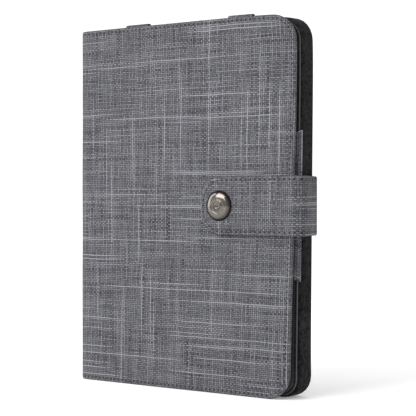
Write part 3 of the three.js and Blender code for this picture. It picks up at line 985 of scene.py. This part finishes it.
# a near-black ring just under the cap's rim and a little wider than it: painted shade, standing in for the shadow and
# dark reflection round the cap
rim_inner, rim_radius = 6.6 * MM, cap_radius + 0.45 * MM
rim_front = front_fold.y - strap_thick / 2 - 0.75 * MM
rim_profile = [
    (rim_inner, rim_front + 0.1 * MM),
    (rim_radius - 0.35 * MM, rim_front),
    (rim_radius, rim_front + 0.35 * MM),
    (rim_radius, rim_front + 0.8 * MM),
    (rim_inner, rim_front + 0.8 * MM),
    (rim_inner, rim_front + 0.1 * MM),
]
shadow_ring = metal_material("blackened_metal", (0.012, 0.011, 0.011), 0.4, 400.0)
turned_piece("snap_rim_turned", rim_profile, 0.12 * MM, "strap_front", material=shadow_ring)


def socket_profile(low, high, radius):
    return [
        (0, low), (radius, low), (radius, low + 0.5 * MM), (radius - 1.2 * MM, high),
        (2.6 * MM, high), (2.5 * MM, low + 0.35 * MM), (0, low + 0.35 * MM),
    ]


def stud_profile(low, high, radius):
    flange = front_fold.y + 2.6 * MM
    return [
        (0, low), (1.7 * MM, low), (2.1 * MM, low + 0.35 * MM), (1.6 * MM, flange - 0.1 * MM),
        (radius - 0.5 * MM, flange), (radius, flange + 0.4 * MM), (1.8 * MM, flange + 0.5 * MM),
        (1.8 * MM, high), (0, high),
    ]


def rivet_profile(low, high, radius):
    return [
        (0, low), (radius, low), (radius, low + 0.5 * MM), (radius - 1.6 * MM, high),
        (2.0 * MM, high - 0.1 * MM), (1.6 * MM, high - 0.6 * MM), (0, high - 0.6 * MM),
    ]


for node, body, shape in (
    ("snap_socket", "strap_front", socket_profile),
    ("snap_stud", "front_cover", stud_profile),
    ("snap_rivet", "front_cover", rivet_profile),
):
    low, high = box_of(node)
    turned_piece(node + "_turned", shape(low.y, high.y, (high.x - low.x) / 2), 0.25 * MM, body, node)


# ---- Keyboard tray ----
# A moulded foam-and-board tray covered in black microsuede, glued to the back board. It has soft
# rims, a well for the keyboard, a notch in its upper wall for the charging plug, and a shallow
# recess behind that takes the back board.
tray_suede = suede_material("tray_suede", sheen=0.05)
base_low, base_high = box_of("keyboard_base")
well_gap = 0.3 * MM
tray_corner = 12.0 * MM
board_counts = (30, 44, 6)


def ring_of(mesh, x_span, z_span, y, radii, counts):
    """A rounded rectangle of vertices; radii run from the lower left corner anticlockwise.

    counts says how many lengths go to a side along x, a side along z, and a corner."""
    (x_low, x_high), (z_low, z_high) = x_span, z_span
    corners = (
        (x_low + radii[0], z_low + radii[0], radii[0], math.pi),
        (x_high - radii[1], z_low + radii[1], radii[1], math.pi * 1.5),
        (x_high - radii[2], z_high - radii[2], radii[2], 0.0),
        (x_low + radii[3], z_high - radii[3], radii[3], math.pi / 2),
    )
    arcs = []
    for x, z, radius, first in corners:
        angles = first + np.linspace(0, math.pi / 2, counts[2] + 1)
        arcs.append([(x + radius * math.cos(angle), z + radius * math.sin(angle)) for angle in angles])
    points = []
    for arc, following, count in zip(arcs, arcs[1:] + arcs[:1], counts[:2] * 2):
        points += arc
        (x_from, z_from), (x_to, z_to) = arc[-1], following[0]
        for share in np.linspace(0, 1, count + 1)[1:-1]:
            points.append((x_from + (x_to - x_from) * share, z_from + (z_to - z_from) * share))
    return [mesh.verts.new((x, y, z)) for x, z in points]


def ringed_body(mesh, stations, counts, closed=True):
    """Rings joined one after another; each is (x span, z span, y, radii)."""
    rings = [ring_of(mesh, *station, counts) for station in stations]
    bridge(mesh, rings)
    if closed:
        mesh.faces.new(rings[0])
        mesh.faces.new(rings[-1])
    return rings


def inset_station(x_span, z_span, radii, inset, y):
    shrunk = [max(radius - inset, 0.2 * MM) for radius in radii]
    return (x_span[0] + inset, x_span[1] - inset), (z_span[0] + inset, z_span[1] - inset), y, shrunk


def quarter(x_span, z_span, radii, radius, y_face, toward, steps=5):
    """The rounded rim between a side wall and a face: rings from the wall to the face.

    Its radius is negative round an opening, and toward is the way in from the face."""
    stations = []
    for angle in np.radians(np.linspace(0, 90, steps)):
        y = y_face + toward * abs(radius) * (1 - math.sin(angle))
        stations.append(inset_station(x_span, z_span, radii, radius * (1 - math.cos(angle)), y))
    return stations


def build_tray():
    mesh = bmesh.new()
    x_span, z_span = (tray_low.x, tray_high.x), (tray_low.z, tray_high.z)
    outer_radii = [3 * MM, tray_corner, tray_corner, 3 * MM]
    well_x = (base_low.x - well_gap, base_high.x + well_gap)
    well_z = (base_low.z - well_gap, base_high.z + well_gap)
    well_radii = [1.5 * MM] * 4
    well_floor = base_high.y + 0.7 * MM
    recess = tray_high.y - 2.6 * MM
    recess_inset = 2.5 * MM
    front_soft, back_soft, well_soft = 2.2 * MM, 0.8 * MM, 0.7 * MM
    outer = (x_span, z_span, outer_radii)
    well = (well_x, well_z, well_radii)
    stations = [
        inset_station(*outer, recess_inset, recess),
        inset_station(*outer, recess_inset, tray_high.y - 0.4 * MM),
        inset_station(*outer, recess_inset - 0.3 * MM, tray_high.y),
    ]
    stations += reversed(quarter(*outer, back_soft, tray_high.y, -1))
    for y in np.linspace(tray_high.y - 2.5 * MM, tray_low.y + 3.5 * MM, 3):
        stations.append(inset_station(*outer, 0, y))
    stations += quarter(*outer, front_soft, tray_low.y, 1)
    stations.append(inset_station(*well, -well_soft - 0.6 * MM, tray_low.y))
    stations += reversed(quarter(*well, -well_soft, tray_low.y, 1, 4))
    stations.append(inset_station(*well, 0, well_floor))
    ringed_body(mesh, stations, board_counts)
    face_out(mesh)
    # the covering is a little uneven on the outer walls
    uneven_rate, uneven_rise = 60, 0.25 * MM
    for vert in mesh.verts:
        on_wall = vert.co.x > base_high.x + 6 * MM or vert.co.z > tray_high.z - 6 * MM or vert.co.z < 6 * MM
        if on_wall and tray_low.y + 1 * MM < vert.co.y < tray_high.y - 1 * MM:
            vert.co += vert.normal * noise.noise(vert.co * uneven_rate) * uneven_rise
        vert.co = settle(vert.co, 0.3, 1.0, (0, 0), 4)
    return mesh


def cut_away(piece, low, high, rounding=0.0):
    """Cut a box out of a piece."""
    mesh = bmesh.new()
    bmesh.ops.create_cube(mesh, size=1)
    for vert in mesh.verts:
        vert.co = [lo + (hi - lo) * (co + 0.5) for lo, hi, co in zip(low, high, vert.co)]
    if rounding:
        bmesh.ops.bevel(mesh, geom=mesh.edges[:], offset=rounding, segments=3, affect="EDGES")
    cutter = put("cutter", finished_mesh("cutter", mesh))
    cut = piece.modifiers.new("cut", "BOOLEAN")
    cut.object = cutter
    cut.operation = "DIFFERENCE"
    cut.solver = "EXACT"
    bake_modifiers(piece)
    bpy.data.objects.remove(cutter)


tray = add_piece("tray_covered", build_tray(), tray_suede)
notch = next(gap for gap in frame["record"]["physics"]["openings"] if gap["name"] == "charging_plug_notch")
notch_low, notch_high = [Vector(corner) for corner in notch["box_m"]]
cut_away(
    tray,
    (notch_low.x - 0.2 * MM, tray_low.y - 4 * MM, base_high.z - 1 * MM),
    (notch_high.x + 0.2 * MM, notch_high.y + 0.2 * MM, tray_high.z + 4 * MM),
    1.0 * MM,
)
# the recess behind is open toward the spine, where the cloth comes in from the fold
cut_away(
    tray,
    (tray_low.x - 1 * MM, tray_high.y - 2.6 * MM, back_low.z - 0.1 * MM),
    (tray_low.x + 2.7 * MM, tray_high.y + 1 * MM, back_high.z + 0.1 * MM),
)
ride_piece(tray, "back_cover", "suede", "keyboard_tray")


# ---- Tablet holder ----
# A thin board covered in black microsuede, with its free edges bound in satin leatherette. A
# window in it is filled by the prop flap, which is cut from the same board.
holder_suede = suede_material("holder_suede")
holder_low, holder_high = box_of("holder_panel")
prop_low, prop_high = box_of("prop_flap")
holder_thick = holder_high.y - holder_low.y
holder_corner = 9.5 * MM
window_gap = 0.8 * MM


def holder_settle(point):
    return settle(point, 0.05, 1.2, (0.6, -0.3))


def shift_verts(mesh, place):
    for vert in mesh.verts:
        vert.co = place(vert.co)


def build_holder():
    mesh = bmesh.new()
    x_span, z_span = (holder_low.x, holder_high.x), (holder_low.z, holder_high.z)
    radii = [0.5 * MM, holder_corner, holder_corner, 0.5 * MM]
    window_x = (prop_low.x - 1.0 * MM, prop_high.x + window_gap)
    window_z = (prop_low.z - window_gap, prop_high.z + window_gap)
    window_radii = [0.5 * MM, 10 * MM, 10 * MM, 0.5 * MM]
    soft = 0.5 * MM
    window = (window_x, window_z, window_radii)
    stations = quarter(x_span, z_span, radii, soft, holder_low.y, 1)
    stations += reversed(quarter(*window, -soft, holder_low.y, 1, 3))
    stations += quarter(*window, -soft, holder_high.y, -1, 3)
    stations += reversed(quarter(x_span, z_span, radii, soft, holder_high.y, -1))
    rings = ringed_body(mesh, stations, board_counts, closed=False)
    bridge(mesh, [rings[-1], rings[0]])
    face_out(mesh)
    shift_verts(mesh, holder_settle)
    return mesh


holder = add_piece("holder_covered", build_holder(), holder_suede)
ride_piece(holder, "tablet_holder", "suede", "holder_panel")


# ---- Holder binding ----
# A strip of satin black leatherette folded over the holder's three free edges and stitched; its
# folded edge shows as a thin paler line behind the cover.
def leatherette_material():
    made, shader, spot = new_material("leatherette", Coat_Weight=0.05)
    grain = spot.node("TexVoronoi", {"feature": "DISTANCE_TO_EDGE"}, {"Vector": spot, "Scale": 1400.0})
    wear = spot.grain(120.0, 3.0)
    paint(
        shader,
        Base_Color=blend_colours(wear, (0.022, 0.022, 0.024), (0.045, 0.045, 0.048)),
        Roughness=wear * 0.2 + 0.3,
        Normal=grain.bump(0.3, 0.1 * MM),
    )
    return made


def build_binding():
    """A C-shaped section swept along the free edge from the hinge side round and back."""
    mesh = bmesh.new()
    hinge_end = holder_low.x + 6 * MM
    free_edge = edge_line(hinge_end, holder_high.x, holder_low.z, holder_high.z, 0.0, holder_corner)
    marks = even_marks(free_edge, 2.5 * MM)
    direction = np.gradient(marks, axis=0)
    direction /= np.linalg.norm(direction, axis=1)[:, None]
    half, lap = holder_thick / 2 + 0.12 * MM, 4.0 * MM
    bead = 0.6 * MM
    section = [(lap, -half), (1.5 * MM, -half)]
    for angle in np.linspace(-math.pi * 0.5, math.pi * 0.5, 11):
        section.append((0.3 * MM - bead * math.cos(angle), bead * math.sin(angle)))
    section.append((1.5 * MM, half))
    section += [(lap, half), (lap, half - 0.1 * MM), (1.0 * MM, half - 0.1 * MM)]
    section += [(1.0 * MM, -half + 0.1 * MM), (lap, -half + 0.1 * MM)]
    middle_y = (holder_low.y + holder_high.y) / 2
    rings = []
    for (x, z), (along_x, along_z) in zip(marks, direction):
        inward = (-along_z, along_x)
        ring = []
        for inset, out in section:
            point = Vector((x + inward[0] * inset, middle_y + out, z + inward[1] * inset))
            ring.append(mesh.verts.new(holder_settle(point)))
        rings.append(ring)
    bridge(mesh, rings)
    mesh.faces.new(rings[0])
    mesh.faces.new(rings[-1])
    face_out(mesh)
    return mesh


ride_piece(
    add_piece("holder_binding", build_binding(), leatherette_material()), "tablet_holder", "suede", crisp=40
)


# ---- Prop flap ----
# A flap of the holder's own suede-covered board in the holder's window. It swings out behind the
# holder, and its foot comes down on the opened cover.
def build_prop():
    mesh = bmesh.new()
    x_span, z_span = (prop_low.x, prop_high.x), (prop_low.z, prop_high.z)
    radii = [0.6 * MM, 9.5 * MM, 9.5 * MM, 0.6 * MM]
    soft = 0.5 * MM
    stations = list(reversed(quarter(x_span, z_span, radii, soft, prop_low.y, 1)))
    stations += quarter(x_span, z_span, radii, soft, prop_high.y, -1)
    ringed_body(mesh, stations, (16, 14, 6))
    face_out(mesh)
    shift_verts(mesh, holder_settle)
    return mesh


ride_piece(add_piece("prop_flap_covered", build_prop(), holder_suede), "prop", "suede", "prop_flap")


# ---- Elastic bands ----
# Elastic faced with the cover's cloth: two loops over the tablet's upper corners, two under its
# lower ones, and one long band at the opening edge. Each is folded round the holder's edge and sewn.
band_thick = 0.55 * MM


def ribbon(path, span, place, thick=band_thick):
    """A flat band with eased edges along a line of plan points; place(point, across) puts it."""
    mesh = bmesh.new()
    cloth_map = mesh.loops.layers.uv.new("cloth")
    low, high = span
    edge, half = thick * 0.35, thick / 2
    section = [(low + edge, half), (high - edge, half), (high, half - edge), (high, edge - half)]
    section += [(high - edge, -half), (low + edge, -half), (low, edge - half), (low, half - edge)]
    rings, run = [], 0.0
    for number, point in enumerate(path):
        before, after = path[max(number - 1, 0)], path[min(number + 1, len(path) - 1)]
        heading = (after - before).normalized()
        side = Vector((heading.y, -heading.x))
        if number:
            run += (point - path[number - 1]).length
        ring = []
        for across, out in section:
            ring.append((mesh.verts.new(place(point + side * out, across)), run, across))
        rings.append(ring)
    for ring_a, ring_b in zip(rings, rings[1:]):
        for k in range(len(section)):
            corners = (ring_a[k - 1], ring_a[k], ring_b[k], ring_b[k - 1])
            face = mesh.faces.new([corner[0] for corner in corners])
            for loop, corner in zip(face.loops, corners):
                loop[cloth_map].uv = corner[1:]
    for ring in (rings[0], rings[-1]):
        mesh.faces.new([corner[0] for corner in ring])
    face_out(mesh)
    return mesh


front_face = holder_low.y - band_thick / 2 - 0.35 * MM
back_face = holder_high.y + band_thick / 2 + 0.35 * MM
for node in ("top_loop_left", "top_loop_right", "bottom_loop_left", "bottom_loop_right"):
    low, high = box_of(node)
    rise = 1 if node.startswith("top") else -1
    sewn, tip = (low.z, high.z) if rise > 0 else (high.z, low.z)
    outline = [
        (front_face, sewn),
        (front_face - 0.25 * MM, (sewn + tip) / 2),
        (front_face, tip - rise * 0.2 * MM),
        (back_face, tip - rise * 0.3 * MM),
        (back_face + 0.1 * MM, (sewn + tip) / 2),
        (back_face, sewn),
    ]
    # the plan point of a loop is (y, z), and its width runs along x
    mesh = ribbon(
        filleted(outline, 1.3 * MM),
        (low.x, high.x),
        lambda point, across: holder_settle(Vector((across, point.x, point.y))),
    )
    ride_piece(add_piece(node + "_elastic", mesh, cover_cloth), "tablet_holder", "cover_cloth", node)

side_low, side_high = box_of("side_band")
side_outline = [
    (side_low.x + 2 * MM, front_face),
    (side_high.x - 2.5 * MM, front_face - 0.3 * MM),
    (side_high.x, (front_face + back_face) / 2),
    (side_high.x - 2.5 * MM, back_face + 0.05 * MM),
    (side_low.x + 2 * MM, back_face),
]


def side_band_point(point, across):
    """The band's ends are cut on a slant, so its outer fold is longer than its sewn edges."""
    out = ease(point.x, holder_high.x - 1 * MM, side_high.x)
    middle = (side_low.z + side_high.z) / 2
    stretch = 0.988 + 0.03 * out
    return holder_settle(Vector((point.x, point.y, middle + (across - middle) * stretch)))


side_mesh = ribbon(filleted(side_outline, 1.6 * MM), (side_low.z, side_high.z), side_band_point)
side_band = add_piece("side_band_elastic", side_mesh, cover_cloth)
ride_piece(side_band, "tablet_holder", "cover_cloth", "side_band")


# ---- Hinge tapes ----
# Black woven tape: one strip hinges the holder to the spine's lining, and a shorter one across
# the window hinges the prop flap to the holder.
def tape_material(name, dark, pale):
    """Narrow ribs across the band and finer cords along it."""
    made, shader, flat = new_material(name, True, Sheen_Weight=0.2, Roughness=0.85)
    ribs = (flat.axis(0) * (math.tau / (0.9 * MM))).math("SINE") * 0.5 + 0.5
    cords = (flat.axis(1) * (math.tau / (0.7 * MM))).math("SINE") * 0.5 + 0.5
    level = ribs * 0.35 + cords * 0.2 + flat.grain(900.0) * 0.6 + -0.1
    weave = ribs * 0.6 + cords * 0.4
    paint(shader, Base_Color=blend_colours(level.clamp(), dark, pale), Normal=weave.bump(0.5, 0.2 * MM))
    return made


tape = tape_material("hinge_tape_weave", (0.006, 0.006, 0.007), (0.035, 0.035, 0.038))
tape_low, tape_high = box_of("holder_hinge_tape")
holder_axis = fold_places["holder_fold"]
tape_line = filleted(
    [
        (tape_low.x + 0.7 * MM, holder_axis.y + 5 * MM),
        (tape_low.x + 0.7 * MM, holder_low.y - 0.3 * MM),
        (holder_low.x + 9 * MM, holder_low.y - 0.3 * MM),
    ],
    1.6 * MM,
)
tape_thick = 0.4 * MM
tape_mesh = ribbon(
    tape_line,
    (tape_low.z, tape_high.z),
    lambda point, across: Vector((point.x, point.y, across)),
    tape_thick,
)
hinge_tape = add_piece("holder_tape", tape_mesh, tape)
hinge_tape.data.set_sharp_from_angle(angle=math.radians(50))
tape_bend = bend_from((holder_axis.x - 1.6 * MM, holder_axis.y), (holder_axis.x + 2.0 * MM, holder_axis.y))
bend_piece(hinge_tape, ("spine", "tablet_holder"), tape_bend, "tape", "holder_hinge_tape")

prop_axis = fold_places["prop_fold"]
tape_low, tape_high = box_of("prop_hinge_tape")
prop_tape = add_piece(
    "prop_tape",
    ribbon(
        [Vector((x, holder_low.y - 0.28 * MM)) for x in np.linspace(tape_low.x, prop_low.x + 6 * MM, 12)],
        (tape_low.z, tape_high.z),
        lambda point, across: holder_settle(Vector((point.x, point.y, across))),
        tape_thick,
    ),
    tape,
)
prop_bend = bend_from((prop_axis.x - 0.9 * MM, prop_axis.y), (prop_axis.x + 0.9 * MM, prop_axis.y))
bend_piece(prop_tape, ("tablet_holder", "prop"), prop_bend, "tape", "prop_hinge_tape")


# ---- Keyboard shell ----
# Two black ABS mouldings with a fine spark texture: a shallow base that clips to a frame plate
# with an opening round every key. Self-grip pads hold the base in the tray.
def plastic_material(name, dark, pale, rough, scale):
    return grained_material(name, dark, pale, scale, rough, uneven=0.15, bump=(0.15, 0.1 * MM))


shell_plastic = plastic_material("shell_plastic", (0.01, 0.01, 0.011), (0.018, 0.018, 0.019), 0.42, 3000.0)


def softened(name, node, body, slot, material, edge):
    """A part whose edges are eased all round, as moulding leaves them."""
    mesh = bmesh.new()
    mesh.from_mesh(frame["nodes"][node].data)
    bmesh.ops.remove_doubles(mesh, verts=mesh.verts, dist=1e-6)
    piece = add_piece(name, mesh, material)
    eased = piece.modifiers.new("eased_edges", "BEVEL")
    eased.width = edge
    eased.segments = 2
    eased.limit_method = "ANGLE"
    eased.angle_limit = math.radians(40)
    bake_modifiers(piece)
    piece.data.shade_smooth()
    ride_piece(piece, body, slot, node)


softened("base_moulding", "keyboard_base", "back_cover", "keyboard_shell", shell_plastic, 0.3 * MM)
softened("frame_moulding", "keyboard_frame", "back_cover", "keyboard_shell", shell_plastic, 0.18 * MM)
grip = grained_material("self_grip", (0.004, 0.004, 0.004), (0.05, 0.05, 0.05), 1800.0, 0.95, 3.0)
for node in ("grip_pad_lower", "grip_pad_upper"):
    softened(node + "_fabric", node, "back_cover", "tape", grip, 0.12 * MM)


# ---- Key caps ----
# Satin ABS caps with softly dished tops, moulded on one web for each row or group. The letters are
# left off, and two keys of the home row have a raised bar for the index fingers.
key_plastic = plastic_material("key_plastic", (0.016, 0.016, 0.018), (0.026, 0.026, 0.029), 0.34, 2200.0)
cap_gap, base_wall, web_inset, web_thick = 2.6 * MM, 1.2 * MM, 1.5 * MM, 0.5 * MM
column_pitch = (base_high.z - base_low.z - 2 * base_wall) / 12
row_layouts = {
    "number_row": ("number_keys", 0, [1] * 12),
    "upper_row": ("upper_keys", 0, [1] * 12),
    "home_row": ("home_keys", 0, [1.25] + [1] * 9 + [1.75]),
    "lower_row": ("lower_keys", 0, [1.75] + [1] * 8 + [1.25, 1]),
    "modifier_keys_left": ("left_modifiers", 0, [1, 1, 1.25]),
    "space_bar": ("space_key", 3.25, [4.5]),
    "modifier_keys_right": ("right_modifiers", 7.75, [1.25, 1, 1, 1]),
}


def moulded(mesh, x_span, z_span, radius, levels, counts):
    """A closed body of one rounded outline, drawn in by the inset of each (inset, y) level."""
    ringed_body(mesh, [inset_station(x_span, z_span, [radius] * 4, *level) for level in levels], counts)


def add_cap(mesh, x_span, z_span, top, foot):
    """One cap, from its foot up its tapering sides and over a rounded shoulder to its dish."""
    levels = [
        (0, foot),
        (0.25 * MM, top + 0.9 * MM),
        (0.45 * MM, top + 0.35 * MM),
        (0.7 * MM, top + 0.1 * MM),
        (1.1 * MM, top),
    ]
    deepest = (x_span[1] - x_span[0]) / 2
    for inset in (2.2 * MM, 3.6 * MM, 5.2 * MM):
        levels.append((inset, top + 0.4 * MM * (1 - (1 - inset / deepest) ** 2)))
    moulded(mesh, x_span, z_span, 1.3 * MM, levels, (4, 4, 4))


def around(middle, half):
    return middle - half, middle + half


for node, (body, first, units) in row_layouts.items():
    low, high = box_of(node)
    web_front = high.y - web_thick
    mesh = bmesh.new()
    place = base_low.z + base_wall + first * column_pitch
    for number, unit in enumerate(units):
        z_span = (place + cap_gap / 2, place + unit * column_pitch - cap_gap / 2)
        add_cap(mesh, (low.x, high.x), z_span, low.y, web_front)
        if node == "home_row" and number in (4, 7):
            bar_x = around(high.x - 3.4 * MM, 0.25 * MM)
            bar_z = around(sum(z_span) / 2, 1.6 * MM)
            bar_levels = [(0, low.y + 0.6 * MM), (0, low.y + 0.1 * MM), (0.1 * MM, low.y)]
            moulded(mesh, bar_x, bar_z, 0.24 * MM, bar_levels, (2, 4, 3))
        place += unit * column_pitch
    web_x = (low.x + web_inset, high.x - web_inset)
    web_z = (low.z + web_inset, high.z - web_inset)
    moulded(mesh, web_x, web_z, 0.4 * MM, [(0, web_front), (0, high.y)], (4, 4, 3))
    face_out(mesh)
    ride_piece(add_piece(node + "_caps", mesh, key_plastic), body, "key_caps", node, crisp=55)


# ---- Keyboard's small parts ----
# The ribbed slide knob of the power switch, and behind the mouldings the silicone membrane, the
# circuit board, the lithium pouch cell, the charging socket's steel shell and the light pipe.
def build_knob():
    low, high = box_of("power_switch")
    mesh = bmesh.new()
    body_levels = [(0, high.y), (0, low.y + 0.3 * MM), (0.25 * MM, low.y + 0.15 * MM)]
    moulded(mesh, (low.x, high.x), (low.z, high.z), 0.5 * MM, body_levels, (3, 3, 3))
    rib_z = (low.z + 0.35 * MM, high.z - 0.35 * MM)
    rib_levels = [(0, low.y + 0.4 * MM), (0, low.y + 0.05 * MM), (0.08 * MM, low.y)]
    for rib in np.linspace(low.x + 0.6 * MM, high.x - 0.6 * MM, 4):
        moulded(mesh, around(rib, 0.18 * MM), rib_z, 0.15 * MM, rib_levels, (2, 3, 2))
    face_out(mesh)
    return mesh


ride_piece(add_piece("switch_knob", build_knob(), key_plastic), "switch_slider", "key_caps", "power_switch")
silicone = plastic_material("silicone", (0.40, 0.42, 0.45), (0.48, 0.50, 0.53), 0.5, 900.0)
laminate = plastic_material("solder_mask", (0.012, 0.06, 0.032), (0.022, 0.09, 0.05), 0.3, 600.0)
light_pipe = plastic_material("light_pipe", (0.62, 0.68, 0.72), (0.72, 0.78, 0.82), 0.25, 500.0)
pouch_foil = metal_material("pouch_foil", (0.62, 0.64, 0.66), 0.3, 400.0)
cover_with(silicone, "key_membrane")
cover_with(laminate, "circuit_board")
cover_with(light_pipe, "indicator_window")
cover_with(pouch_foil, "battery", "charging_socket")


# ---- Sizes and finish ----
with open("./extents.json", "w") as size_file:
    sizes = {"cad": cad_box, "visual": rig.bounds()}
    numbers = {name: [[float(value) for value in corner] for corner in box] for name, box in sizes.items()}
    json.dump(numbers, size_file)
